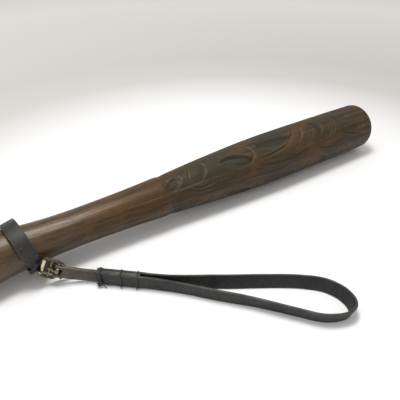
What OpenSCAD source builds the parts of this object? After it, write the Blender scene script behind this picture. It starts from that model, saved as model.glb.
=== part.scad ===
// Short carved hardwood bat with a leather wrist strap, buckled to a collar round its handle.
// X runs from the butt face to the barrel end, Z is up and the bat lies level on its knob and barrel.

/* [Bat] */
// Whole length from the butt face to the barrel end
bat_length = 460; // [450:1:475]
// Diameter of the barrel, and of the knob
barrel_d = 53.6; // [52.6:0.2:54.6]
// Diameter of the handle at its thinnest
handle_d = 33; // [32:0.2:34]
// Where the carving starts, measured from the butt face
carving_start = 186; // [182:1:192]
// Number of carved leaves round the barrel
leaf_count = 4; // [2:1:5]
// Depth of the carved hollows
hollow_depth = 2.2; // [1:0.1:2.6]

/* [Straps] */
// Width of the collar and the wrist strap
strap_w = 12.7; // [12:0.1:13]
// Thickness of the collar and the wrist strap
strap_t = 2; // [1.8:0.1:2.2]
// Width of the folded brown chape
chape_w = 12; // [11:0.1:12.2]
// Thickness of one layer of the chape
chape_t = 1.4; // [1.2:0.1:1.5]
// Inner radius of the collar band, loose on the handle
collar_r = 21.6; // [21.3:0.1:22.2]

/* [Buckle] */
// Radius of the buckle's round bars
bar_r = 1.2; // [1:0.05:1.3]
// Distance from the buckle's centre pin to each end bar
bar_reach = 5.8; // [5.6:0.1:6.2]
// Height of the buckle's frame along its bars
frame_h = 19.6; // [18.6:0.2:20.4]
// Radius of the centre pin
pin_r = 0.9; // [0.8:0.05:0.95]

/* [Hidden] */
$fn = 64;

barrel_r = barrel_d / 2;
handle_r = handle_d / 2;
ground_z = -barrel_r;
wood_colour = [0.30, 0.20, 0.13];
black_leather = [0.13, 0.13, 0.13];
brown_leather = [0.30, 0.25, 0.22];
brass_colour = [0.72, 0.66, 0.45];
thread_colour = [0.08, 0.08, 0.10];

// Bat outline: a flared butt, a thin waist and a barrel that swells smoothly
knob_x = 9;
knob_reach = 13;
waist_x = 98;
flare_rate = 0.0011;
swell_start = 100;
swell_run = 230;
taper_start = 380;
butt_round = 7;
end_round = 9;
step_depth = 0.5;
step_run = 60;

function smooth(t) = t <= 0 ? 0 : t >= 1 ? 1 : t * t * (3 - 2 * t);
function flare_r(x) = handle_r + flare_rate * pow(max(0, waist_x - max(x, knob_x)), 2);
function bell(t) = pow(max(0, 1 - t * t), 2);
function knob_extra(x) = (barrel_r - flare_r(knob_x)) * bell((x - knob_x) / knob_reach);
function swell(x) = (barrel_r - handle_r) * smooth((x - swell_start) / swell_run);
function taper(x) = 0.8 * pow(max(0, (x - taper_start) / 70), 2);
function carved_step(x) = x < carving_start ? 0 : step_depth * (1 - smooth((x - carving_start) / step_run));
function bat_r(x) = flare_r(x) + knob_extra(x) + swell(x) - taper(x) - carved_step(x);

butt_arc = [for (a = [90:-15:0]) [bat_r(butt_round) - butt_round * (1 - cos(a)), butt_round * (1 - sin(a))]];
handle_line = [for (x = [butt_round + 2:4:carving_start - 2]) [bat_r(x), x]];
step_line = [[bat_r(carving_start - 0.01), carving_start - 0.4], [bat_r(carving_start), carving_start + 0.4]];
barrel_line = [for (x = [carving_start + 6:8:bat_length - end_round - 2]) [bat_r(x), x]];
end_x = bat_length - end_round;
end_arc = [for (a = [0:15:90]) [bat_r(end_x) - end_round * (1 - cos(a)), end_x + end_round * sin(a)]];
bat_outline = concat([[0, 0]], butt_arc, handle_line, step_line, barrel_line, end_arc, [[0, bat_length]]);

// A spindle with a curved side, which scoops a lens-shaped hollow
spindle_steps = 8;
module spindle(length, half_w) {
    rotate([0, 90, 0]) rotate_extrude($fn = 32) polygon([
        for (i = [0:spindle_steps])
            let (t = 2 * i / spindle_steps - 1) [half_w * (1 - t * t), t * length / 2]
    ]);
}

// One hollow at station x and at an angle measured up from the bat's front
module hollow(x, angle, length, half_w, depth) {
    rotate([90 - angle, 0, 0]) translate([x, 0, bat_r(x) + half_w - depth]) spindle(length, half_w);
}

module bat_body() {
    color(wood_colour) difference() {
        rotate([0, 90, 0]) rotate_extrude($fn = 96) polygon(bat_outline);
        for (i = [0:leaf_count - 1]) {
            turn = i * 360 / leaf_count;
            hollow(268, 57 + turn, 34, 6, hollow_depth);
            hollow(318, 64 + turn, 56, 7, hollow_depth / 2);
            hollow(300, 12 + turn, 90, 8, hollow_depth / 2);
            hollow(208, 12 + turn, 30, 6, hollow_depth / 2);
        }
    }
}

// The collar: a slanted band round the handle whose end turns into the buckle
collar_pos = [56.6, 0.5, 0];
collar_turn = [0, -9, 7.5];
lap_t = 1.6;
lap_z = 11;

// Everything on the buckle is placed from its centre pin: x along the strap, z along the bars
buckle_pos = [69.5, -26, -9.3];
buckle_turn = [-8, 25, -30];
module at_buckle() { translate(buckle_pos) rotate(buckle_turn) children(); }

module at_collar() { translate(collar_pos) rotate(collar_turn) children(); }

module band(inner, outer, width) {
    rotate([0, 90, 0]) difference() {
        cylinder(r = outer, h = width, center = true);
        cylinder(r = inner, h = width + 2, center = true);
    }
}

// A rounded bar of the given half thickness between two points, drawn flat
module flat_link(from, to, half_t) {
    run = to - from;
    translate(from) circle(half_t, $fn = 24);
    translate(to) circle(half_t, $fn = 24);
    translate(from) rotate(atan2(run[1], run[0])) translate([0, -half_t]) square([norm(run), 2 * half_t]);
}

// The collar's tongue folds round the centre pin, and its tail lies behind the chape
fold_r = pin_r + 0.1;
fold_outer = fold_r + 1.5;
layer_half = 0.8;
tongue_root = 9.5;
tongue_y = bar_r + 0.25 + layer_half;
tail_run = 11;
tail_y = bar_r + 0.1 + chape_t + 0.3 + layer_half;

// The slot in each fold gives the prong room to turn
prong_tube_r = pin_r + 0.85;
slot_half = 1.9;
slot_run = 8;
slot_top = prong_tube_r + 0.35;

module collar_strap() {
    color(black_leather) {
        at_collar() {
            band(collar_r, collar_r + strap_t, strap_w);
            // The lapped joint at the back of the band
            intersection() {
                band(collar_r + strap_t - 0.3, collar_r + strap_t + lap_t, strap_w);
                translate([0, collar_r, 0]) cube([2 * strap_w, 12, 2 * lap_z], center = true);
            }
        }
        at_buckle() difference() {
            translate([0, 0, -strap_w / 2]) linear_extrude(strap_w) difference() {
                union() {
                    circle(fold_outer);
                    flat_link([-tongue_root, tongue_y], [0, tongue_y], layer_half);
                    flat_link([0, tongue_y], [bar_reach, tail_y], layer_half);
                    flat_link([bar_reach, tail_y], [bar_reach + tail_run, tail_y], layer_half);
                }
                circle(fold_r);
            }
            translate([-slot_run / 2, slot_top - slot_run, -slot_half])
                cube([slot_run, slot_run, 2 * slot_half]);
        }
    }
}

// Two rows of waxed thread across the collar's lapped joint
seam_rows = 2;
stitches_per_row = 4;
stitch_r = 0.35;
module collar_seam() {
    color(thread_colour) at_collar()
        for (row = [0:seam_rows - 1], i = [0:stitches_per_row - 1]) {
            angle = (i - (stitches_per_row - 1) / 2) * 11;
            rotate([angle, 0, 0])
                translate([(row - 0.5) * (strap_w - 4), collar_r + strap_t + lap_t + stitch_r + 0.05, 0])
                    cylinder(r = stitch_r, h = 3, center = true, $fn = 16);
        }
}

rail_t = 2.2;
rail_half = bar_r + 0.15;
rail_z = (frame_h - rail_t) / 2;
module buckle_frame() {
    color(brass_colour) at_buckle() {
        for (side = [-1, 1]) {
            translate([side * bar_reach, 0, 0]) cylinder(r = bar_r, h = frame_h - rail_t, center = true);
            difference() {
                translate([0, 0, side * rail_z - rail_t / 2]) linear_extrude(rail_t)
                    flat_link([-bar_reach, 0], [bar_reach, 0], rail_half);
                cylinder(r = pin_r, h = frame_h + 2, center = true);
            }
        }
    }
}

module buckle_pin() {
    color(brass_colour) at_buckle() cylinder(r = pin_r, h = frame_h + 0.6, center = true);
}

// The prong starts at the pin, climbs over the end bar and dips at its tip
prong_half = 0.65;
prong_w = 1.6;
tube_h = 2.8;
prong_over = bar_r + 0.12 + prong_half;
prong_route = [[0.3, -1.2], [2.2, -prong_over - 0.3], [bar_reach, -prong_over],
               [bar_reach + 1.6, -prong_over + 0.5]];
module buckle_prong() {
    color(brass_colour) at_buckle() difference() {
        union() {
            cylinder(r = prong_tube_r, h = tube_h, center = true);
            translate([0, 0, -prong_w / 2]) linear_extrude(prong_w)
                for (i = [0:len(prong_route) - 2]) flat_link(prong_route[i], prong_route[i + 1], prong_half);
        }
        cylinder(r = pin_r + 0.05, h = tube_h + 2, center = true);
    }
}

// The lead: its straps lie between the bindings on one straight line, level on the ground
lead_pos = [120, -60.5];
lead_yaw = -40;
bind_t = 0.85;
bind_gap = 0.1;
lead_lift = bind_t + bind_gap + 0.05;
lead_z = ground_z + lead_lift + strap_w / 2;
chape_run = 29.6;
chape_skew = 10;
bound_from = -24.5;
bound_lead = 2.5;
bound_to = 12;
stack_half = chape_t + strap_t;
module on_lead() { translate([lead_pos[0], lead_pos[1], lead_z]) rotate([0, 0, lead_yaw]) children(); }

module chape() {
    color(brown_leather) {
        // The fold round the buckle's end bar, slotted for the tip of the prong
        at_buckle() translate([bar_reach, 0, 0]) difference() {
            union() {
                cylinder(r = bar_r + 0.05 + chape_t, h = chape_w, center = true);
                rotate([0, -chape_skew, 0]) translate([0, 0, -chape_w / 2]) linear_extrude(chape_w)
                    flat_link([2, 0], [chape_run, 0], chape_t);
            }
            cylinder(r = bar_r + 0.05, h = 2 * chape_w, center = true);
            cube([slot_run, slot_run, 2 * slot_half], center = true);
        }
        // The stretch between the loop's two bound ends, which starts a little before them
        on_lead() translate([bound_from - bound_lead, -chape_t, -chape_w / 2])
            cube([bound_to - bound_from + bound_lead, 2 * chape_t, chape_w]);
    }
}

// A whipping of waxed thread round the bound straps
module whipping(along, width) {
    color(thread_colour) on_lead() translate([along - width / 2, 0, 0]) rotate([90, 0, 90])
        linear_extrude(width) difference() {
            square([2 * (stack_half + bind_gap + bind_t), strap_w + 2 * (bind_gap + bind_t)], center = true);
            square([2 * (stack_half + bind_gap), strap_w + 2 * bind_gap], center = true);
        }
}
module binding_inner() { whipping(along = -21.5, width = 3.2); }
module binding_middle() { whipping(along = -4, width = 2); }
module binding_outer() { whipping(along = 10, width = 1.6); }

// The wrist loop's centre line seen from above, from the bindings out along the far side and back
loop_route = [[-24.5, 2.4], [-12, 2.4], [0, 2.4], [12, 2.4], [20, 2.2], [28, 2.3], [43, 3.4], [84, 8.4],
              [112, 12.6], [138, 15.6], [158, 15.1], [170, 10.4], [177, 4], [180.5, -3.5], [179, -10.5],
              [173, -15.3], [164, -18.1], [154, -18.7], [137, -15.8], [106, -10.4], [74, -6.9], [48, -3.6],
              [28, -2.5], [20, -2.3], [12, -2.4], [0, -2.4], [-12, -2.4], [-24.5, -2.4]];
route_last = len(loop_route) - 1;
loop_side = chape_t + bind_gap / 2 + strap_t / 2;

// The bound ends keep clear of the chape whatever the leather's thickness
function route_at(i) =
    let (p = loop_route[max(0, min(route_last, i))])
    p[0] <= bound_to ? [p[0], sign(p[1]) * loop_side] : p;
function spline(a, b, c, d, t) =
    0.5 * (2 * b + (c - a) * t + (2 * a - 5 * b + 4 * c - d) * t * t + (3 * b - a - 3 * c + d) * t * t * t);
function route_point(s) =
    let (i = min(route_last - 1, floor(s)))
    spline(route_at(i - 1), route_at(i), route_at(i + 1), route_at(i + 2), s - i);
function route_side(s, half_t) =
    let (run = route_point(min(route_last, s + 0.05)) - route_point(max(0, s - 0.05)))
    route_point(s) + half_t * [-run[1], run[0]] / norm(run);
route_steps = [0:0.25:route_last];
back_steps = [route_last:-0.25:0];

module wrist_loop() {
    color(black_leather) on_lead() translate([0, 0, -strap_w / 2]) linear_extrude(strap_w)
        polygon(concat([for (s = route_steps) route_side(s, strap_t / 2)],
                       [for (s = back_steps) route_side(s, -strap_t / 2)]));
}

bat_body();
collar_strap();
collar_seam();
buckle_frame();
buckle_pin();
buckle_prong();
chape();
binding_inner();
binding_middle();
binding_outer();
wrist_loop();
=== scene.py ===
"""Short carved hardwood bat with a buckled leather wrist strap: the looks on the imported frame."""
import math

import bpy
import numpy as np
from mathutils import Euler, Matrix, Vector


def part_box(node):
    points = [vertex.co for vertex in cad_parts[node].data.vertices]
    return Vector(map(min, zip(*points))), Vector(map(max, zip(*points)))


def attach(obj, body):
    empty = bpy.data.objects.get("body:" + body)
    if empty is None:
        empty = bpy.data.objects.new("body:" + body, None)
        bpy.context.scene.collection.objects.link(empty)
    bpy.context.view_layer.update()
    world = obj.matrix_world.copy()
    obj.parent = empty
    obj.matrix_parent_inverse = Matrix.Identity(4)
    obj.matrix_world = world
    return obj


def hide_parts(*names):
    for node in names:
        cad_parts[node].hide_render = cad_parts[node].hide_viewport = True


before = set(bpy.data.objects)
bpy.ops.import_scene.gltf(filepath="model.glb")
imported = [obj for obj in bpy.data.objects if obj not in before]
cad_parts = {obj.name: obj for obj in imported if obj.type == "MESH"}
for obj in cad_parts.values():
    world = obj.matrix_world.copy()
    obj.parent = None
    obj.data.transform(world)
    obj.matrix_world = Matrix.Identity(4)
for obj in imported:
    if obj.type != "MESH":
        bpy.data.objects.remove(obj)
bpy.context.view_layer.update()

MM = 0.001

# The photograph's camera, fitted to the bat's outline
AZIMUTH, ELEVATION = -32.71, 37.09
CAMERA_AT = Vector((39.77, -297.4, 244.88)) * MM
LENS, SENSOR = 38.7, 36
# The studio, in metres
LIT_POINT = (0.22, -0.07, 0)
SKY_COLOUR, SKY_STRENGTH = (1, 0.99, 0.975, 1), 0.66


# ---------------------------------------------------------------- camera and light
def make_camera():
    data = bpy.data.cameras.new("camera")
    data.lens = LENS
    data.sensor_width = SENSOR
    data.clip_start = 0.01
    camera = bpy.data.objects.new("camera", data)
    camera.location = CAMERA_AT
    camera.rotation_euler = Euler((math.radians(90 - ELEVATION), 0, math.radians(AZIMUTH)))
    bpy.context.scene.collection.objects.link(camera)
    bpy.context.scene.camera = camera


def area_light(name, at, size, power):
    """A rectangular light, its size in metres and its power in watts, aimed at the object."""
    data = bpy.data.lights.new(name, "AREA")
    data.shape = "RECTANGLE"
    data.size, data.size_y = size
    data.energy = power
    light = bpy.data.objects.new(name, data)
    light.location = at
    light.rotation_euler = (Vector(LIT_POINT) - Vector(at)).to_track_quat("-Z", "Y").to_euler()
    bpy.context.scene.collection.objects.link(light)


def make_lights():
    area_light("softbox_above", (0.17, 0.05, 0.8), (0.30, 0.22), 4.9)
    area_light("softbox_left", (-0.75, 0.25, 0.7), (0.5, 0.5), 1.8)
    world = bpy.data.worlds.new("studio")
    world.use_nodes = True
    background = world.node_tree.nodes["Background"]
    background.inputs["Color"].default_value = SKY_COLOUR
    background.inputs["Strength"].default_value = SKY_STRENGTH
    bpy.context.scene.world = world
    bpy.context.scene.view_settings.view_transform = "Standard"


make_camera()
make_lights()

# ---------------------------------------------------------------- sizes, in mm as in the CAD
bat_low, bat_high = (np.array(corner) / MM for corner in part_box("bat_body"))
BAT_LENGTH = bat_high[0]
BARREL_R = bat_high[2]
HANDLE_R = 16.5
GROUND_Z = bat_low[2]
STRAP_W, STRAP_T = 12.7, 2.0
CHAPE_W, CHAPE_T = 12.0, 1.4
BAR_R, BAR_REACH, PIN_R = 1.2, 5.8, 0.9
COLLAR_R = 21.6 + STRAP_T / 2
BIND_T, BIND_GAP, BIND_LIFT = 0.85, 0.1, 0.05


def turned(x, y, z):
    """The rotation that OpenSCAD's rotate([x, y, z]) makes."""
    return np.array(Euler([math.radians(a) for a in (x, y, z)], "XYZ").to_matrix())


# Where the buckle, the collar and the bound stack of the lead are, and how each is turned
BUCKLE_AT, BUCKLE_TURN = np.array([69.5, -26, -9.3]), turned(-8, 25, -30)
COLLAR_AT, COLLAR_TURN = np.array([56.6, 0.5, 0]), turned(0, -9, 7.5)
LEAD_YAW = math.radians(-40)
LEAD_AT = np.array([120, -60.5, GROUND_Z + BIND_T + BIND_GAP + BIND_LIFT + STRAP_W / 2])
U_DIR = np.array([math.cos(LEAD_YAW), math.sin(LEAD_YAW), 0])
V_DIR = np.array([-math.sin(LEAD_YAW), math.cos(LEAD_YAW), 0])
UP = np.array([0, 0, 1.0])


def on_lead(u, v, z=0.0):
    """Points u along the lead from the bound stack's centre, v across it and z up."""
    u, v, z = np.broadcast_arrays(np.asarray(u, float), v, z)
    return LEAD_AT + u[..., None] * U_DIR + v[..., None] * V_DIR + z[..., None] * UP


def moved(origin, turn, x, y, z):
    x, y, z = np.broadcast_arrays(np.asarray(x, float), y, z)
    return origin + np.stack([x, y, z], -1) @ turn.T


def at_buckle(x, y, z=0.0):
    """x from the collar's side to the lead's, y through the buckle (-y in front), z along its pin."""
    return moved(BUCKLE_AT, BUCKLE_TURN, x, y, z)


def at_collar(x, y, z):
    """x along the band's own axis, y and z across it."""
    return moved(COLLAR_AT, COLLAR_TURN, x, y, z)


# ---------------------------------------------------------------- mesh tools
CURVE_POINTS = 24
CREASE_INSET, CREASE_WIDTH = 1.5, 0.28


def smooth(t):
    t = np.clip(t, 0, 1)
    return t * t * (3 - 2 * t)


def unit(v):
    return v / np.maximum(np.linalg.norm(v, axis=-1, keepdims=True), 1e-12)


def spline(points, step):
    """A Catmull-Rom curve through the points, resampled at an even step."""
    p = np.asarray(points, float)
    p = np.vstack([2 * p[0] - p[1], p, 2 * p[-1] - p[-2]])
    t = np.linspace(0, 1, CURVE_POINTS, endpoint=False)[:, None]
    runs = []
    for a, b, c, d in zip(p[:-3], p[1:-2], p[2:-1], p[3:]):
        runs.append(0.5 * (2 * b + (c - a) * t + (2 * a - 5 * b + 4 * c - d) * t**2
                           + (3 * b - a - 3 * c + d) * t**3))
    dense = np.vstack(runs + [p[-2:-1]])
    return resample(dense, step)


def resample(dense, step):
    """The same curve at an even step."""
    gaps = np.linalg.norm(np.diff(dense, axis=0), axis=1)
    length = np.concatenate([[0], np.cumsum(gaps)])
    even = np.linspace(0, length[-1], max(3, int(length[-1] / step) + 1))
    return np.stack([np.interp(even, length, dense[:, k]) for k in range(dense.shape[1])], 1)


def grid_faces(rows, columns, closed_rows=False):
    """Quads of a grid whose columns wrap round, and whose rows may."""
    r = np.arange(rows if closed_rows else rows - 1)[:, None]
    c = np.arange(columns)[None, :]
    after_r, after_c = (r + 1) % rows, (c + 1) % columns
    quads = np.stack([r * columns + c, r * columns + after_c,
                      after_r * columns + after_c, after_r * columns + c], -1)
    return quads.reshape(-1, 4).tolist()


def add_attribute(mesh, key, values):
    mesh.attributes.new(key, "FLOAT", "POINT").data.foreach_set("value", np.ravel(values))


def make_mesh(name, verts, faces, material, attributes=None):
    """An object from vertices in millimetres, with a number on each vertex for each attribute."""
    mesh = bpy.data.meshes.new(name)
    mesh.from_pydata((np.asarray(verts) * MM).tolist(), [], faces)
    for key, values in (attributes or {}).items():
        add_attribute(mesh, key, values)
    mesh.shade_smooth()
    mesh.materials.append(material)
    piece = bpy.data.objects.new(name, mesh)
    bpy.context.scene.collection.objects.link(piece)
    return piece


def strap_section(half_w, half_t, corner, crease):
    """Outline of a strap across its width: rounded corners, and a pressed line near each edge."""
    corner = min(corner, half_t * 0.95)
    flat = np.linspace(-(half_w - corner), half_w - corner, 23)
    press = crease * np.exp(-((np.abs(flat) - (half_w - CREASE_INSET)) / CREASE_WIDTH) ** 2)
    top = np.stack([flat, half_t - press], 1)
    turn = np.radians(np.arange(75, 0, -15))
    right_top = np.stack([half_w - corner + corner * np.cos(turn),
                          half_t - corner + corner * np.sin(turn)], 1)
    right = np.vstack([right_top, right_top[::-1] * [1, -1]])
    bottom = top[::-1] * [1, -1]
    return np.vstack([top, right, bottom, right[::-1] * [-1, 1]])


def circle(sides):
    """Outline of a round bar or thread, of radius 1."""
    turn = np.radians(np.arange(sides) * 360 / sides)
    return np.stack([np.cos(turn), np.sin(turn)], 1)


def sweep(path, across, section, material, name, widths=1.0, thick=1.0, closed=False):
    """Sweeps a section along a path. across is the section's first axis at each point.

    widths and thick scale the section's two axes, as one number or one for each point. The "edge"
    attribute runs from 0 on the flat to 1 at the section's two sides.
    """
    path = np.asarray(path, float)
    if closed:
        ahead = np.roll(path, -1, 0) - np.roll(path, 1, 0)
    else:
        ahead = np.gradient(path, axis=0)
    tangent = unit(ahead)
    across = np.broadcast_to(across, path.shape)
    across = unit(across - (across * tangent).sum(1, keepdims=True) * tangent)
    normal = np.cross(tangent, across)
    widths, thick = (np.broadcast_to(scale, len(path)) for scale in (widths, thick))
    w = section[None, :, 0] * widths[:, None]
    t = section[None, :, 1] * thick[:, None]
    verts = path[:, None] + w[..., None] * across[:, None] + t[..., None] * normal[:, None]
    n, k = len(path), len(section)
    faces = [q[::-1] for q in grid_faces(n, k, closed)]
    if not closed:
        faces += [list(range(k)), list(range((n - 1) * k, n * k))[::-1]]
    edge = np.abs(section[:, 0]) / np.abs(section[:, 0]).max()
    values = np.broadcast_to(smooth((edge - 0.86) / 0.14), (n, k))
    return make_mesh(name, verts.reshape(-1, 3), faces, material, {"edge": values})


def tube(path, radius, material, name, sides):
    """A round thread that doesn't twist along its path."""
    tangent = unit(np.gradient(path, axis=0))
    side = np.cross(tangent[0], UP if abs(tangent[0][2]) < 0.9 else U_DIR)
    sides_at = []
    for t in tangent:
        side = unit(side - (side @ t) * t)
        sides_at.append(side)
    return sweep(path, np.array(sides_at), circle(sides), material, name, radius, radius)


def join(name, pieces):
    """One object out of several that are the same material."""
    bpy.ops.object.select_all(action="DESELECT")
    for piece in pieces:
        piece.select_set(True)
    bpy.context.view_layer.objects.active = pieces[0]
    bpy.ops.object.join()
    pieces[0].name = name
    pieces[0].data.name = name
    pieces[0].select_set(False)
    return pieces[0]


def cut_slot(piece, centre, axes, size):
    """Cuts a straight slot with the boolean modifier, applied at once."""
    signs = [[i, j, k] for i in (-1, 1) for j in (-1, 1) for k in (-1, 1)]
    corners = np.array(signs) * np.array(size) / 2
    faces = [(0, 1, 3, 2), (4, 6, 7, 5), (0, 4, 5, 1), (2, 3, 7, 6), (0, 2, 6, 4), (1, 5, 7, 3)]
    cutter = make_mesh("cutter", centre + corners @ axes, faces, piece.data.materials[0])
    modifier = piece.modifiers.new("slot", "BOOLEAN")
    modifier.operation = "DIFFERENCE"
    modifier.object = cutter
    modifier.solver = "EXACT"
    bpy.context.view_layer.objects.active = piece
    bpy.ops.object.modifier_apply(modifier="slot")
    bpy.data.objects.remove(cutter)
    return piece


def place(piece, body, slot, *nodes):
    """Puts a piece on its body and replaces its CAD nodes. The slot argument is not used."""
    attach(piece, body)
    if nodes:
        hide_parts(*nodes)
    return piece


# ---------------------------------------------------------------- material tools
class Shader:
    """A short way to write one procedural material."""

    def __init__(self, name):
        self.material = bpy.data.materials.new(name)
        self.material.use_nodes = True
        self.tree = self.material.node_tree
        self.main = self.tree.nodes["Principled BSDF"]
        self.coordinates = self.tree.nodes.new("ShaderNodeTexCoord").outputs["Object"]

    def node(self, kind, **inputs):
        made = self.tree.nodes.new(kind)
        for key, value in inputs.items():
            self.set(made, key, value)
        return made

    def set(self, node, key, value):
        """Links another node's output to a socket, or sets its constant."""
        socket = node.inputs[key] if not key.isdigit() else node.inputs[int(key)]
        if isinstance(value, bpy.types.NodeSocket):
            self.tree.links.new(value, socket)
        else:
            socket.default_value = value

    def stretched(self, scale):
        return self.node("ShaderNodeMapping", Vector=self.coordinates, Scale=scale).outputs[0]

    def noise(self, scale, detail=6.0, rough=0.6, stretch=(1, 1, 1), distort=0.0):
        made = self.node("ShaderNodeTexNoise", Vector=self.stretched(stretch), Scale=scale,
                         Detail=detail, Roughness=rough, Distortion=distort)
        return made.outputs["Fac"]

    def cells(self, scale, stretch=(1, 1, 1), feature="DISTANCE_TO_EDGE"):
        made = self.node("ShaderNodeTexVoronoi", Vector=self.stretched(stretch), Scale=scale)
        made.feature = feature
        return made.outputs["Distance"]

    def ramp(self, value, low, high, out_low=0.0, out_high=1.0):
        """out_low up to low, out_high from high on, and even between."""
        ends = {"From Min": low, "From Max": high, "To Min": out_low, "To Max": out_high}
        return self.node("ShaderNodeMapRange", Value=value, **ends).outputs[0]

    def maths(self, operation, a, b):
        made = self.tree.nodes.new("ShaderNodeMath")
        made.operation = operation
        self.set(made, "0", a)
        self.set(made, "1", b)
        return made.outputs[0]

    def mix(self, share, a, b):
        """Colour a where share is 0, b where it is 1. Sockets 6, 7 and output 2 are the colours."""
        made = self.tree.nodes.new("ShaderNodeMix")
        made.data_type = "RGBA"
        self.set(made, "0", share)
        for key, colour in (("6", a), ("7", b)):
            linked = isinstance(colour, bpy.types.NodeSocket)
            self.set(made, key, colour if linked else (*colour, 1))
        return made.outputs[2]

    def attribute(self, name):
        made = self.tree.nodes.new("ShaderNodeAttribute")
        made.attribute_name = name
        return made.outputs["Fac"]

    def bump(self, height, distance_mm, strength=1.0, under=None):
        made = self.node("ShaderNodeBump", Height=height, Distance=distance_mm * MM,
                         Strength=strength)
        if under is not None:
            self.set(made, "Normal", under)
        return made.outputs["Normal"]

    def finish(self, **inputs):
        """Sets the main shader's inputs, whose spaces are written as underscores."""
        for key, value in inputs.items():
            self.set(self.main, key.replace("_", " "), value)
        return self.material


# Stations along the bat, in metres
CARVED_FROM, CARVED_BY = 0.184, 0.196
POLISHED_TO, POLISH_GONE = 0.085, 0.15


def wood_material():
    """Dark streaked wood: browner and polished at the handle, greyer and duller in the carving, with
    painted shade darkening its hollows.
    """
    s = Shader("dark_hardwood")
    broad = s.noise(9, 4, 0.55, (1, 3.2, 3.2), 0.4)
    streak = s.noise(34, 8, 0.7, (0.42, 9, 9), 0.8)
    pores = s.noise(120, 3, 0.7, (0.9, 15, 15))
    blotch = s.noise(38, 5, 0.6, (0.8, 1.2, 1.2))
    patch = s.noise(24, 3, 0.5, (1, 1.8, 1.8), 0.6)
    hollow, ridge = s.attribute("hollow"), s.attribute("ridge")
    station = s.node("ShaderNodeSeparateXYZ", Vector=s.coordinates).outputs["X"]
    carved = s.ramp(station, CARVED_FROM, CARVED_BY)
    colour = s.mix(s.ramp(streak, 0.42, 0.59), (0.014, 0.0092, 0.0048), (0.090, 0.053, 0.0235))
    colour = s.mix(s.ramp(broad, 0.42, 0.68, 0, 0.7), colour, (0.072, 0.034, 0.0105))
    colour = s.mix(s.ramp(patch, 0.54, 0.70, 0, 0.55), colour, (0.104, 0.050, 0.0155))
    colour = s.mix(s.ramp(blotch, 0.52, 0.75, 0, 0.5), colour, (0.030, 0.021, 0.014))
    colour = s.mix(s.ramp(pores, 0.34, 0.47, 0.8, 0), colour, (0.009, 0.0055, 0.003))
    grey = s.maths("MULTIPLY", carved, s.ramp(patch, 0.38, 0.58, 0.74, 0.16))
    colour = s.mix(grey, colour, (0.026, 0.0235, 0.0165))
    # Painted shade: the carved hollows are darkened and greyed by their depth.
    colour = s.mix(s.ramp(hollow, 0.05, 0.9, 0, 0.82), colour, (0.020, 0.019, 0.0145))
    worn = s.maths("MULTIPLY", s.ramp(ridge, 0.1, 1), s.ramp(blotch, 0.40, 0.64, 0.04, 0.7))
    colour = s.mix(worn, colour, (0.105, 0.083, 0.058))
    polished = s.ramp(station, POLISHED_TO, POLISH_GONE, 1, 0)
    rough = s.ramp(streak, 0.3, 0.7, 0.50, 0.38)
    rough = s.maths("ADD", rough, s.maths("MULTIPLY", carved, 0.10))
    rough = s.maths("SUBTRACT", rough, s.maths("MULTIPLY", polished, 0.09))
    grain = s.bump(streak, 0.32, 0.9)
    normal = s.bump(pores, 0.1, 0.6, grain)
    normal = s.bump(blotch, 0.6, 0.3, normal)
    shine = s.maths("ADD", s.maths("MULTIPLY", polished, 0.34), 0.26)
    return s.finish(Base_Color=colour, Roughness=rough, Normal=normal,
                    Specular_IOR_Level=shine, Specular_Tint=(1, 0.88, 0.74, 1))


def leather_material(name, deep, face, worn, grain_scale, dullness, rib=0.0):
    """Pebbled leather in three colours. dullness is its roughness, rib the scale of fine ribs."""
    s = Shader(name)
    patches = s.noise(55, 6, 0.6)
    pebble = s.cells(grain_scale, feature="F1")
    creases = s.cells(grain_scale * 0.42, (1, 1, 0.8))
    scuffs = s.noise(330, 4, 0.7, (1, 1, 0.35))
    mottle = s.noise(520, 3, 0.6)
    edge = s.attribute("edge")
    colour = s.mix(s.ramp(patches, 0.36, 0.66), deep, face)
    # Painted shade: the grain's creases are darkened to the deep colour.
    colour = s.mix(s.ramp(creases, 0.0, 0.12, 0.55, 0), colour, deep)
    colour = s.mix(s.ramp(mottle, 0.40, 0.60, 0.6, 0), colour, deep)
    colour = s.mix(s.ramp(mottle, 0.56, 0.72, 0, 0.35), colour, worn)
    colour = s.mix(s.ramp(scuffs, 0.60, 0.74, 0, 0.6), colour, worn)
    worn_edge = s.maths("MULTIPLY", edge, s.ramp(patches, 0.38, 0.62, 0.1, 0.75))
    colour = s.mix(worn_edge, colour, worn)
    rough = s.ramp(patches, 0.3, 0.7, dullness + 0.1, dullness - 0.05)
    rough = s.maths("ADD", rough, s.ramp(scuffs, 0.5, 0.8, 0, 0.15))
    normal = s.bump(pebble, 0.16, 0.55)
    normal = s.bump(s.ramp(creases, 0.0, 0.1), 0.10, 0.5, normal)
    normal = s.bump(patches, 0.5, 0.3, normal)
    if rib:
        normal = s.bump(s.noise(rib, 2, 0.5, (1, 1, 0.1)), 0.45, 0.9, normal)
    return s.finish(Base_Color=colour, Roughness=rough, Normal=normal, Specular_IOR_Level=0.42)


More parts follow.
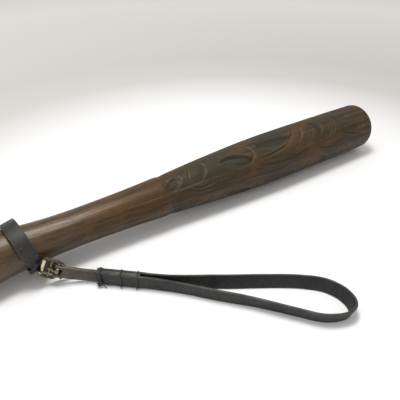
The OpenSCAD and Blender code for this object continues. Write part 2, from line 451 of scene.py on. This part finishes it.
def brass_material(name, polish):
    """Aged brass. polish is 1 for bright and 0 for dark tarnish. An attribute on the frame adds
    painted shade, darkening its rails.
    """
    s = Shader(name)
    tarnish = s.noise(260, 6, 0.65)
    scratches = s.noise(900, 3, 0.6, (1, 1, 0.18))
    colour = s.mix(s.ramp(tarnish, 0.36, 0.56), (0.30, 0.24, 0.125), (0.72, 0.65, 0.43))
    colour = s.mix(s.ramp(tarnish, 0.66, 0.80, 0, 0.8), colour, (0.16, 0.13, 0.06))
    # Darkening from two causes: tarnish where the polish is low, and painted shade on the frame's
    # rails from its attribute.
    rail_shade_and_tarnish = s.maths("MAXIMUM", s.attribute("rail_shade_and_tarnish"), 1 - polish)
    colour = s.mix(rail_shade_and_tarnish, colour, (0.060, 0.050, 0.034))
    rough = s.maths("ADD", s.ramp(tarnish, 0.35, 0.65, 0.48, 0.28), s.maths("MULTIPLY", rail_shade_and_tarnish, 0.2))
    normal = s.bump(scratches, 0.05, 0.5, s.bump(tarnish, 0.12, 0.4))
    return s.finish(Base_Color=colour, Metallic=1.0, Roughness=rough, Normal=normal)


def thread_material():
    s = Shader("waxed_thread")
    fibre = s.noise(1500, 3, 0.7, (1, 1, 0.5))
    colour = s.mix(s.ramp(fibre, 0.35, 0.7), (0.0065, 0.0065, 0.009), (0.038, 0.036, 0.042))
    return s.finish(Base_Color=colour, Roughness=s.ramp(fibre, 0.3, 0.7, 0.65, 0.45),
                    Normal=s.bump(fibre, 0.12, 0.8))


WOOD = wood_material()
BLACK_LEATHER = leather_material(
    "black_strap_leather", deep=(0.011, 0.011, 0.0105), face=(0.026, 0.026, 0.0252),
    worn=(0.075, 0.073, 0.069), grain_scale=900, dullness=0.54, rib=430)
COLLAR_LEATHER = leather_material(
    "black_collar_leather", deep=(0.012, 0.0105, 0.0095), face=(0.028, 0.0245, 0.022),
    worn=(0.082, 0.082, 0.080), grain_scale=950, dullness=0.44)
BROWN_LEATHER = leather_material(
    "brown_chape_leather", deep=(0.040, 0.030, 0.024), face=(0.098, 0.080, 0.064),
    worn=(0.19, 0.165, 0.135), grain_scale=1100, dullness=0.56)
BRASS = brass_material("aged_brass", 1.0)
DARK_BRASS = brass_material("tarnished_brass", 0.32)
THREAD = thread_material()

# ---------------------------------------------------------------- the bat
WAIST_X, KNOB_X, KNOB_REACH, FLARE_RATE = 98, 9, 13, 0.0011
SWELL_START, SWELL_RUN = 100, 230
TAPER_START, TAPER_RUN, TAPER = 380, 70, 0.8
BUTT_ROUND, END_ROUND = 7, 9
CARVING_START, STEP_DEPTH, STEP_RUN = 186, 0.5, 60
LEAF_COUNT = 4
LEAF_TURN = 360 / LEAF_COUNT
RINGS, COLUMNS, ROUND_RINGS, CAP_RINGS = 430, 222, 9, 10
FULL_HOLLOW = 1.6


def bat_radius(x):
    """The turned outline, the same rule as the CAD's."""
    def flare(at):
        return HANDLE_R + FLARE_RATE * np.maximum(0, WAIST_X - np.maximum(at, KNOB_X)) ** 2
    bell = np.maximum(0, 1 - ((x - KNOB_X) / KNOB_REACH) ** 2) ** 2
    knob = (BARREL_R - flare(np.float64(KNOB_X))) * bell
    swell = (BARREL_R - HANDLE_R) * smooth((x - SWELL_START) / SWELL_RUN)
    taper = TAPER * np.maximum(0, (x - TAPER_START) / TAPER_RUN) ** 2
    step = STEP_DEPTH * (1 - smooth((x - CARVING_START) / STEP_RUN))
    step = np.where(x < CARVING_START, 0, step)
    return flare(x) + knob + swell - taper - step


# Carved cuts: kind, route of (station x in mm, angle in degrees up from the front), width, depth.
# They repeat LEAF_COUNT times round the bat. A groove is cut on both sides of its route. A lens is
# a hollow that narrows to both ends. A bevel is sharp on its route and slopes up to its left.
CUTS = [
    ("bevel", [(128, 40), (160, 39), (188, 38), (225, 40), (262, 36)], 9, 0.55),
    ("bevel", [(187, 108), (188, 84), (190, 62), (188, 38), (189, 20)], 8, 0.9),
    ("lens", [(187, 47), (194, 55), (201, 70)], 7.5, 1.3),
    ("groove", [(201, 84), (203, 64), (201, 44)], 1.5, 0.8),
    ("groove", [(216, 92), (213, 74), (211, 56), (215, 40)], 1.4, 1.0),
    ("bevel", [(221, 40), (229, 56), (232, 76), (229, 98)], 8, 1.1),
    ("groove", [(212, 34), (220, 26), (229, 28), (231, 38)], 1.7, 0.9),
    ("groove", [(206, 30), (221, 17), (238, 22), (240, 38)], 1.4, 0.7),
    ("groove", [(236, 78), (247, 70), (258, 58), (266, 49)], 1.3, 0.7),
    ("groove", [(246, 98), (251, 80), (256, 66)], 1.2, 0.8),
    ("lens", [(250, 69), (263, 58), (282, 45)], 8.0, 2.2),
    ("groove", [(256, 66), (268, 57), (280, 50)], 1.0, 0.7),
    ("bevel", [(281, 42), (287, 56), (286, 74), (280, 90)], 6, 1.0),
    ("groove", [(284, 45), (300, 43), (322, 49), (338, 60)], 1.7, 1.2),
    ("lens", [(294, 74), (314, 67), (337, 66)], 6.5, 1.6),
    ("groove", [(300, 68), (318, 62), (334, 58)], 1.3, 0.8),
    ("groove", [(286, 30), (306, 22), (330, 20), (352, 28)], 1.9, 0.9),
    ("bevel", [(262, 8), (290, 3), (322, 4), (352, 14)], 8, 0.8),
    ("groove", [(326, 52), (338, 68), (347, 90)], 1.9, 1.2),
    ("bevel", [(343, 46), (353, 64), (357, 88)], 6, 1.0),
    ("groove", [(356, 40), (366, 58), (369, 80)], 1.5, 0.9),
    ("lens", [(372, 88), (378, 70), (376, 50)], 5.5, 1.4),
    ("groove", [(396, 62), (389, 46), (383, 32)], 1.5, 1.0),
    ("bevel", [(399, 92), (404, 70), (400, 48), (392, 30)], 6, 0.9),
    ("groove", [(412, 90), (420, 68), (424, 46)], 1.4, 0.8),
    ("groove", [(408, 34), (422, 24), (438, 12)], 1.8, 1.1),
    ("bevel", [(398, 20), (414, 8), (432, -6)], 7, 0.9),
    ("groove", [(366, 22), (380, 14), (398, 10)], 1.5, 0.9),
    ("groove", [(428, 84), (436, 64), (439, 44), (436, 28)], 1.6, 0.9),
]


def carving(x, angle, radius):
    """Depth of the carving at each point, and how far the point stands on a worn edge, 0 to 1."""
    depth = np.zeros_like(x)
    worn = np.zeros_like(x)
    for kind, route, width, deep in CUTS:
        route = spline(route, 3 if kind == "lens" else 2.5)
        middle = route[:, 1].mean()
        away = (angle - middle + LEAF_TURN / 2) % LEAF_TURN - LEAF_TURN / 2
        py = np.radians(away) * radius
        rx = route[:, 0]
        ry = np.radians(route[:, 1] - middle) * bat_radius(rx)
        best = np.full(x.shape, 1e9)
        along = np.zeros_like(x)
        left = np.zeros_like(x)
        legs = len(rx) - 1
        for i in range(legs):
            dx, dy = rx[i + 1] - rx[i], ry[i + 1] - ry[i]
            t = np.clip(((x - rx[i]) * dx + (py - ry[i]) * dy) / (dx * dx + dy * dy), 0, 1)
            gap = np.hypot(x - rx[i] - t * dx, py - ry[i] - t * dy)
            nearer = gap < best
            best = np.where(nearer, gap, best)
            along = np.where(nearer, (i + t) / legs, along)
            left = np.where(nearer, dx * (py - ry[i]) - dy * (x - rx[i]), left)
        ends = np.clip(np.sin(np.pi * np.clip(along, 0.001, 0.999)), 0, 1) ** 0.5
        if kind == "groove":
            cut = np.maximum(0, 1 - best / (width * (0.35 + 0.65 * ends))) * ends
            depth = np.maximum(depth, deep * smooth(cut))
            edge = np.exp(-((best - width * 1.25) / 0.7) ** 2)
            worn = np.maximum(worn, ends * edge * 0.8)
        elif kind == "lens":
            cut = np.maximum(0, 1 - (best / np.maximum(0.1, width * ends)) ** 2)
            depth = np.maximum(depth, deep * smooth(cut * 1.15))
            edge = np.exp(-((best - width * ends - 0.4) / 0.7) ** 2)
            worn = np.maximum(worn, edge * ends * 0.7)
        else:
            on_left = smooth(np.sign(left) * best / 0.8 + 0.5)
            slope = np.maximum(0, 1 - best / width)
            depth = np.maximum(depth, deep * slope * on_left * ends)
            edge = np.exp(-((np.sign(left) * best + 0.7) / 0.8) ** 2)
            worn = np.maximum(worn, edge * ends)
    return depth, worn


def waves(x, angle, seed, count, long_scale, most_lobes):
    """Soft random unevenness that closes round the bat, from -1 to 1 or so."""
    draw = np.random.default_rng(seed)
    total = np.zeros_like(x)
    for _ in range(count):
        lobes = int(draw.integers(1, most_lobes))
        total += np.cos(lobes * np.radians(angle) + draw.uniform(0, 6.28)
                        + x / long_scale * draw.uniform(-2, 2)) * draw.uniform(0.4, 1)
    return total / math.sqrt(count)


def make_bat():
    """Rings of points along the bat, closed by a fan at each end."""
    columns = COLUMNS
    arc = np.radians(np.linspace(90, 0, ROUND_RINGS))
    butt_x = BUTT_ROUND * (1 - np.sin(arc))
    butt_r = bat_radius(np.float64(BUTT_ROUND)) - BUTT_ROUND * (1 - np.cos(arc))
    end_x0 = BAT_LENGTH - END_ROUND
    end_x = end_x0 + END_ROUND * np.sin(arc[::-1])
    end_r = bat_radius(np.float64(end_x0)) - END_ROUND * (1 - np.cos(arc[::-1]))
    side_x = np.linspace(BUTT_ROUND, end_x0, RINGS)[1:-1]
    cap = np.linspace(0.04, 0.96, CAP_RINGS)
    xs = np.concatenate([np.zeros(CAP_RINGS), butt_x, side_x, end_x,
                         np.full(CAP_RINGS, BAT_LENGTH)])
    rs = np.concatenate([cap * butt_r[0], butt_r, bat_radius(side_x), end_r,
                         cap[::-1] * end_r[-1]])
    angle = np.arange(columns) * 360 / columns
    x = np.repeat(xs[:, None], columns, 1)
    a = np.repeat(angle[None, :], len(xs), 0)
    radius = np.repeat(rs[:, None], columns, 1)
    # How far each point is clear of the two end faces, and inside the carved stretch
    on_side = smooth((x - 4) / 6) * smooth((BAT_LENGTH - 4 - x) / 6)
    carved = smooth((x - CARVING_START + 60) / 40) * smooth((BAT_LENGTH - 12 - x) / 8)
    depth, worn = carving(x, a, radius)
    depth, worn = depth * carved, worn * carved
    long_waves = waves(x, a, 4, 14, 60, 9)
    knife_marks = waves(x, a, 7, 12, 14, 12)
    flats = 0.10 * (1 + 0.5 * long_waves) + 0.14 * carved * (1 + knife_marks * 0.5)
    r = radius - (depth + np.maximum(0, flats)) * on_side
    up = np.radians(a)
    verts = np.stack([x, -r * np.cos(up), r * np.sin(up)], -1)
    faces = grid_faces(len(xs), columns)
    verts = np.vstack([verts.reshape(-1, 3), [[0, 0, 0], [BAT_LENGTH, 0, 0]]])
    first, last = len(verts) - 2, len(verts) - 1
    top = (len(xs) - 1) * columns
    for i in range(columns):
        j = (i + 1) % columns
        faces.append([first, j, i])
        faces.append([last, top + i, top + j])
    # Shares for the wood's colour: the carving's depth for the painted shade in the hollows, the worn
    # edges for lighter wear.
    hollow = np.append(np.clip(depth / FULL_HOLLOW, 0, 1), [0, 0])
    ridge = np.append(np.clip(worn * on_side, 0, 1), [0, 0])
    return make_mesh("carved_bat", verts, faces, WOOD, {"hollow": hollow, "ridge": ridge})


place(make_bat(), "bat", "dark_wood", "bat_body")

# ---------------------------------------------------------------- the wrist loop
# Centre line of the strap on the lead, from its far end round the loop to its near end
LOOP_ROUTE = [(-24.5, 2.45), (-12, 2.45), (0, 2.45), (12, 2.45), (20, 2.2), (28, 2.3), (43, 3.4),
              (84, 8.4), (112, 12.6), (138, 15.6), (158, 15.1), (170, 10.4), (177, 4),
              (180.5, -3.5), (179, -10.5), (173, -15.3), (164, -18.1), (154, -18.7),
              (137, -15.8), (106, -10.4), (74, -6.9), (48, -3.6), (28, -2.5), (20, -2.3),
              (12, -2.45), (0, -2.45), (-12, -2.45), (-24.5, -2.45)]
# The strap's lean from upright, in degrees, at shares of its length
LEAN_AT, LEANS = [0, 0.35, 0.58, 0.75, 1], [16, 16, 16, 5, 5]
FLOOR_GAP = 0.02


def make_wrist_loop():
    """One strap, level in the bindings and settling onto the floor beyond them."""
    route = spline(LOOP_ROUTE, 0.8)
    u, v = route.T
    ahead = unit(np.gradient(route, axis=0))
    outward = (-ahead[:, 1:2]) * U_DIR + ahead[:, 0:1] * V_DIR
    share = np.linspace(0, 1, len(route))
    loose = smooth((u - 18) / 60)
    lean = np.radians(np.interp(share, LEAN_AT, LEANS))
    lean = lean * loose + np.radians(1.5) * np.sin(share * 31) * loose
    across = np.cos(lean)[:, None] * UP + np.sin(lean)[:, None] * outward
    rest_z = GROUND_Z + FLOOR_GAP + STRAP_W / 2 * np.cos(lean) + STRAP_T / 2 * np.abs(np.sin(lean))
    settled = smooth((u - 14) / 40)
    z = LEAD_AT[2] * (1 - settled) + rest_z * settled
    path = on_lead(u, v) * [1, 1, 0] + z[:, None] * UP
    section = strap_section(STRAP_W / 2, STRAP_T / 2, 0.6, 0.16)
    widths = 1 - 0.006 * (1 + np.sin(share * 140) * np.sin(share * 57 + 1))
    thick = 1 + 0.05 * np.sin(share * 90) * np.sin(share * 211)
    return sweep(path, across, section, BLACK_LEATHER, "wrist_strap", widths, thick)


place(make_wrist_loop(), "lead", "black_leather", "wrist_loop")

# ---------------------------------------------------------------- the chape
# From the bound stack's centre: back to where the chape meets it, and on to the chape's ends
FOLD_TO_STACK, BOUND_TO = 27.0, 12.0
LAYER_GAP, FOLD_GAP = 0.02, 0.05
CHAPE_SLOT = (8, 8, 6.4)


def chape_centre(along):
    """Centre line of the chape from the end bar (0) to the bindings, and its thickness axis."""
    bar, s_dir, y_dir = at_buckle(BAR_REACH, 0), BUCKLE_TURN[:, 0], BUCKLE_TURN[:, 1]
    stack = on_lead(-FOLD_TO_STACK, 0)
    gap = np.linalg.norm(stack - bar)
    t = np.clip(along / gap, 0, 1)[:, None]
    curve = ((2 * t**3 - 3 * t**2 + 1) * bar + (t**3 - 2 * t**2 + t) * gap * s_dir
             + (3 * t**2 - 2 * t**3) * stack + (t**3 - t**2) * gap * U_DIR)
    beyond = np.maximum(0, along - gap)[:, None] * U_DIR + np.minimum(0, along)[:, None] * s_dir
    thickness = unit(y_dir * (1 - smooth(t)) + V_DIR * smooth(t))
    return curve + beyond, thickness


def chape_tangent(along):
    step = 0.05
    return unit(chape_centre(along + step)[0] - chape_centre(along - step)[0])


def make_chape():
    """One strip: the outer layer, the fold round the end bar and the inner layer."""
    gap = np.linalg.norm(on_lead(-FOLD_TO_STACK, 0) - at_buckle(BAR_REACH, 0))
    end = gap + FOLD_TO_STACK + BOUND_TO - 0.4
    layer = CHAPE_T / 2 + LAYER_GAP
    fold = BAR_R + FOLD_GAP + CHAPE_T / 2
    turn = np.radians(np.arange(75, 286, 15))
    outer = [(end, layer), (end - 20, layer), (20, layer), (9, layer), (5.5, layer + 0.25),
             (3, layer + 0.8)]
    round_bar = list(zip(fold * np.cos(turn), fold * np.sin(turn)))
    inner = [(x, -y) for x, y in reversed(outer)]
    route = spline(outer + round_bar + inner, 0.5)
    centre, thickness = chape_centre(route[:, 0])
    path = centre + route[:, 1:2] * thickness
    across = np.cross(chape_tangent(route[:, 0]), thickness)
    section = strap_section(CHAPE_W / 2, CHAPE_T / 2, 0.45, 0.10)
    share = np.linspace(0, 1, len(route))
    widths = 1 - 0.012 * (1 + np.sin(share * 60))
    piece = sweep(path, across, section, BROWN_LEATHER, "chape_leather", widths)
    return cut_slot(piece, at_buckle(BAR_REACH, 0), BUCKLE_TURN.T, CHAPE_SLOT)


place(make_chape(), "lead", "brown_leather", "chape")

# ---------------------------------------------------------------- the collar
LEAF_T = 1.6
LAP_ANGLE, FRONT_ANGLE, UNDER_ANGLE, RING_STEP = 27, 172, -158, 3
TONGUE_Y = BAR_R + 0.25 + LEAF_T / 2
TAIL_Y = BAR_R + 0.1 + CHAPE_T + 0.3 + LEAF_T / 2
TAIL_RUN, TAIL_DROOP = 11, 6.6
UPPER_THICK, TONGUE_THINNER, FOLD_THICK, LOWER_THICK = 0.94, 0.14, 0.7, 0.9
FOLD_SLOT_Y, FOLD_SLOT = -1.5, (8, 6.8, 3.6)


def ring(angle, radius, sideways=0.0):
    """A point on the band: 0 degrees at the back, 90 on top, and sideways along the handle."""
    turn = np.radians(angle)
    return at_collar(sideways, radius * np.cos(turn), radius * np.sin(turn))


def make_collar():
    """The band's two layers, and the short fold of it round the buckle's pin."""
    x_axis, pin_axis = COLLAR_TURN[:, 0], BUCKLE_TURN[:, 2]
    # The upper layer: from the lap at the back, over the top and down to the buckle's pin
    angles = np.arange(-LAP_ANGLE, FRONT_ANGLE + 1, RING_STEP)
    radii = COLLAR_R + (LEAF_T + 0.1) * (1 - smooth((angles - LAP_ANGLE - 4) / 34))
    over = ring(angles, radii)
    fold = PIN_R + 0.1 + LEAF_T / 2
    tongue = [(-8.5, TONGUE_Y), (-5.8, TONGUE_Y), (-2.6, TONGUE_Y - 0.1)]
    tail = [(2.4, TONGUE_Y + 0.2, 0), (BAR_REACH, TAIL_Y, -0.3),
            (BAR_REACH + 4, TAIL_Y + 0.5, -3.2),
            (BAR_REACH + TAIL_RUN - 2.2, TAIL_Y + 1.1, -TAIL_DROOP)]
    forward = np.array([at_buckle(*point) for point in tongue + tail])
    path = spline(np.vstack([over, forward]), 0.5)
    in_second_half = np.arange(len(path)) > len(path) * 0.45
    turn_over = smooth((path[:, 0] - over[-1][0] - 0.2) / 5.5) * in_second_half
    across = unit(x_axis * (1 - turn_over)[:, None] - pin_axis * turn_over[:, None])
    share = np.linspace(0, 1, len(path))
    widths = 1 - 0.01 * (1 + np.sin(share * 50))
    thick = UPPER_THICK - TONGUE_THINNER * smooth((share - 0.72) / 0.1)
    section = strap_section(STRAP_W / 2, STRAP_T / 2, 0.6, 0.14)
    upper = sweep(path, across, section, COLLAR_LEATHER, "collar_upper", widths, thick)
    # The pin's own fold: a short loop of the same leather round the centre pin
    loop = [(-3.2, TONGUE_Y - 0.55), (-1.9, 1.2), (-fold, 0), (-1.1, -1.3), (0, -fold),
            (1.1, -1.3), (fold, 0), (1.9, 1.2), (3.2, TONGUE_Y - 0.45)]
    fold_path = spline([at_buckle(x, y) for x, y in loop], 0.3)
    round_pin = sweep(fold_path, -pin_axis, section, COLLAR_LEATHER, "collar_fold",
                      thick=FOLD_THICK)
    round_pin = cut_slot(round_pin, at_buckle(0, FOLD_SLOT_Y), BUCKLE_TURN.T, FOLD_SLOT)
    # The lower layer: from under the lap, round below the handle to the tongue's inner side
    angles = np.arange(LAP_ANGLE, UNDER_ANGLE, -RING_STEP)
    under = ring(angles, COLLAR_R - 0.1 * smooth((-angles - 120) / 30))
    close = np.array([at_buckle(-6.0, TONGUE_Y + 1.75)])
    path = spline(np.vstack([under, close]), 0.6)
    share = np.linspace(0, 1, len(path))
    turn_over = smooth((share - 0.9) / 0.1)
    across = unit(-x_axis * (1 - turn_over)[:, None] - pin_axis * turn_over[:, None])
    lower = sweep(path, across, section, COLLAR_LEATHER, "collar_lower", thick=LOWER_THICK)
    return join("collar_leather", [upper, round_pin, lower])


place(make_collar(), "collar", "black_leather", "collar_strap")


STITCH_ROWS, STITCHES, STITCH_TURN = (-4.35, 4.35), 6, 8.0
STITCH_REACH, STITCH_R = 1.25, 0.3


def make_seam():
    """Two rows of stitches over the lap, each sunk in the leather at its ends."""
    stitches = []
    top = COLLAR_R + STRAP_T / 2 + LEAF_T + 0.12
    offsets = np.array([-1, -0.75, 0, 0.75, 1]) * math.degrees(STITCH_REACH / top)
    rises = [-0.6, 0.05, 0.22, 0.05, -0.6]
    for row in STITCH_ROWS:
        for i in range(STITCHES):
            middle = (i - (STITCHES - 1) / 2) * STITCH_TURN
            path = [ring(middle + o, top + rise, row) for o, rise in zip(offsets, rises)]
            stitches.append(tube(spline(path, 0.15), STITCH_R, THREAD, "stitch", 8))
    return join("seam_stitches", stitches)


place(make_seam(), "collar", "waxed_thread", "collar_seam")

# ---------------------------------------------------------------- the buckle
FRAME_H, RAIL_R, FRAME_CORNER = 19.6, 1.1, 2.1
RAIL_Z = (FRAME_H - 2 * RAIL_R) / 2


def make_buckle_frame():
    """A rounded rectangle of bar, thicker where the left end bar and the chape's slot show it."""
    corner = FRAME_CORNER
    left, right = -BAR_REACH - 0.25 + corner, BAR_REACH - corner
    low, high = -RAIL_Z + corner, RAIL_Z - corner
    points = []
    for cx, cz, start in ((right, high, 0), (left, high, 90), (left, low, 180), (right, low, 270)):
        for a in np.radians(np.arange(start, start + 91, 10)):
            points.append((cx + corner * math.cos(a), cz + corner * math.sin(a)))
    flat = np.array(points + points[:1])
    flat = resample(flat, 0.35)[:-1]
    x, z = flat.T
    path = at_buckle(x, 0, z)
    section = circle(16)
    on_left = smooth((-x - 3.5) / 2.2) * smooth((RAIL_Z - 0.8 - np.abs(z)) / 2)
    on_rail = smooth((np.abs(z) - RAIL_Z + 1.6) / 1.2)
    in_slot = smooth((3.2 - np.abs(z)) / 0.5) * smooth((np.abs(z) - 1.0) / 0.5)
    shown = smooth((x - 3.5) / 1.5) * in_slot
    thick = BAR_R + 0.12 * on_rail - 0.15 * on_left + 0.65 * shown
    uneven = 0.05 * np.sin(np.arange(len(x)) * 0.35)
    wide = BAR_R + 0.12 * on_rail + 0.55 * on_left + 0.6 * shown + uneven
    piece = sweep(path, BUCKLE_TURN[:, 1], section, BRASS, "buckle_loop", thick, wide, closed=True)
    # Painted shade: the frame's top and bottom rails are coloured dark for the shade they lie in.
    rail_shade_and_tarnish = smooth((np.abs(z) - RAIL_Z + 2.6) / 1.8) * 0.93
    add_attribute(piece.data, "rail_shade_and_tarnish", np.repeat(rail_shade_and_tarnish, len(section)))
    return piece


place(make_buckle_frame(), "collar", "brass", "buckle_frame")


PRONG_T = 0.42


def make_prong():
    """A flat tongue wrapped round the pin, narrowing as it runs over the end bar."""
    ring_r = PIN_R + 0.05 + PRONG_T
    over = BAR_R + 0.12 + 0.55
    angles = np.radians(np.arange(-250, -40, 20))
    wrap = [(ring_r * math.cos(a), ring_r * math.sin(a)) for a in angles]
    reach = [(2.2, -over - 0.35), (BAR_REACH - 1.6, -over - 0.3), (BAR_REACH, -over),
             (BAR_REACH + 1.9, -over + 0.55)]
    route = spline(wrap + reach, 0.25)
    path = at_buckle(route[:, 0], route[:, 1])
    share = np.linspace(0, 1, len(path))
    past_wrap = smooth((share - 0.4) / 0.25)
    widths = 1.25 - 0.35 * past_wrap - 0.3 * smooth((share - 0.85) / 0.15)
    thick = PRONG_T + 0.16 * past_wrap - 0.25 * smooth((share - 0.88) / 0.12)
    return sweep(path, BUCKLE_TURN[:, 2], circle(18), DARK_BRASS, "buckle_tongue", widths, thick)


place(make_prong(), "prong", "brass", "buckle_prong")

# The pin is the CAD's own solid
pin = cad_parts["buckle_pin"]
pin.data.materials.clear()
pin.data.materials.append(DARK_BRASS)

# ---------------------------------------------------------------- the bindings
STACK_HALF = CHAPE_T + STRAP_T
THREAD_R = 0.43
SQUARENESS = 0.30
COIL_START, COIL_POINTS = 0.62, 96


def wrap_point(turns, u):
    """A point on the rounded rectangle that a thread follows round the bound straps."""
    half_v = STACK_HALF + BIND_GAP / 2 + THREAD_R
    half_z = STRAP_W / 2 + BIND_GAP / 2 + THREAD_R
    a = turns * 2 * np.pi
    v = half_v * np.sign(np.cos(a)) * np.abs(np.cos(a)) ** SQUARENESS
    z = half_z * np.sign(np.sin(a)) * np.abs(np.sin(a)) ** SQUARENESS
    return on_lead(u, v, z)


def make_binding(name, centre, width, ends):
    """A coil of thread, with its knot or loose ends given as radius and route from its centre."""
    turns = max(2, round(width / (2 * THREAD_R)))
    t = np.linspace(0, turns, turns * COIL_POINTS)
    along = centre + (t / turns - 0.5) * (width - 2 * THREAD_R)
    dense = wrap_point(t + COIL_START, along)
    pieces = [tube(resample(dense, 0.4), THREAD_R, THREAD, name, 10)]
    for radius, route in ends:
        path = spline([on_lead(centre + u, v, z) for u, v, z in route], 0.3)
        pieces.append(tube(path, radius, THREAD, name + "_end", 8))
    return join(name, pieces)


# Knot and loose ends, measured from the front of the bound stack
FRONT_V = -(STACK_HALF + 1.1)
KNOT = [(-1.2, FRONT_V, -1.6), (0.4, FRONT_V - 0.9, -0.4), (1.7, FRONT_V - 0.7, -1.8),
        (0.7, FRONT_V - 1.3, -3.8), (-1.1, FRONT_V - 0.9, -3.2), (-0.8, FRONT_V - 1.5, -1.2),
        (1.1, FRONT_V - 0.9, -0.9), (1.5, FRONT_V - 1.2, -4.4), (-0.3, FRONT_V - 1.6, -4.9),
        (-1.2, FRONT_V - 0.4, -3.6)]
INNER_ENDS = [
    (0.72, KNOT),
    (0.36, [(0.6, FRONT_V - 0.4, -0.8), (1.4, FRONT_V - 0.8, 3.6), (1.0, FRONT_V - 0.5, 5.6),
            (0.7, FRONT_V - 0.2, 7.4), (1.3, FRONT_V + 0.8, 8.2)]),
    (0.36, [(0.8, FRONT_V - 0.8, -3.4), (2.2, FRONT_V - 1.2, -3.8), (3.4, FRONT_V - 1.3, -4.6),
            (5.2, FRONT_V - 1.5, -6.2), (6.0, FRONT_V - 1.6, -6.85)]),
]
MIDDLE_ENDS = [
    (0.34, [(0.2, FRONT_V + 0.4, 5.0), (0.9, FRONT_V - 0.1, 6.6), (0.7, FRONT_V + 0.3, 8.0)]),
    (0.34, [(-0.2, FRONT_V + 0.3, -3.4), (0.5, FRONT_V - 0.4, -5.2), (0.3, FRONT_V - 0.7, -6.8)]),
]
OUTER_ENDS = [
    (0.34, [(0, FRONT_V + 0.3, -3.8), (-0.6, FRONT_V - 0.4, -5.6), (-0.8, FRONT_V - 0.7, -6.8)]),
]
# Which, centre along the lead, width, loose ends
BINDINGS = [("inner", -21.5, 3.2, INNER_ENDS), ("middle", -4, 2.0, MIDDLE_ENDS),
            ("outer", 10, 1.6, OUTER_ENDS)]

for which, centre, width, ends in BINDINGS:
    place(make_binding("whipping_" + which, centre, width, ends), "lead", "waxed_thread",
          "binding_" + which)

# ---------------------------------------------------------------- the floor
FLOOR_HALF, FLOOR_LINES = 3000, 9
FLOOR_SHIFT = (-0.24, 0.09, 0)
# Floor colours: white, the grey of the painted shade further off, and pale.
WHITE, SHADE_GREY, PALE = (0.86, 0.86, 0.86), (0.575, 0.565, 0.545), (0.86, 0.86, 0.81)


def make_floor():
    """A flat floor: white round the bat, greyer further off and pale beyond, in metres. The grey is
    painted shade where the light falls away.
    """
    s = Shader("pale_floor")
    middle = s.node("ShaderNodeMapping", Vector=s.coordinates, Location=FLOOR_SHIFT).outputs[0]
    far = s.node("ShaderNodeVectorMath", **{"0": middle})
    far.operation = "LENGTH"
    distance = far.outputs["Value"]
    # Painted light and shade: white where the light pools round the bat, painted grey shade further
    # off where it falls away, pale again beyond.
    colour = s.mix(s.ramp(distance, 0.275, 0.43), WHITE, SHADE_GREY)
    colour = s.mix(s.ramp(distance, 0.52, 0.95), colour, PALE)
    material = s.finish(Base_Color=colour, Roughness=0.9, Specular_IOR_Level=0.1)
    n = FLOOR_LINES
    steps = np.linspace(-FLOOR_HALF, FLOOR_HALF, n)
    verts = [(x, y, GROUND_Z) for y in steps for x in steps]
    faces = [[j * n + i, j * n + i + 1, j * n + i + n + 1, j * n + i + n]
             for j in range(n - 1) for i in range(n - 1)]
    floor = make_mesh("floor", verts, faces, material)


make_floor()
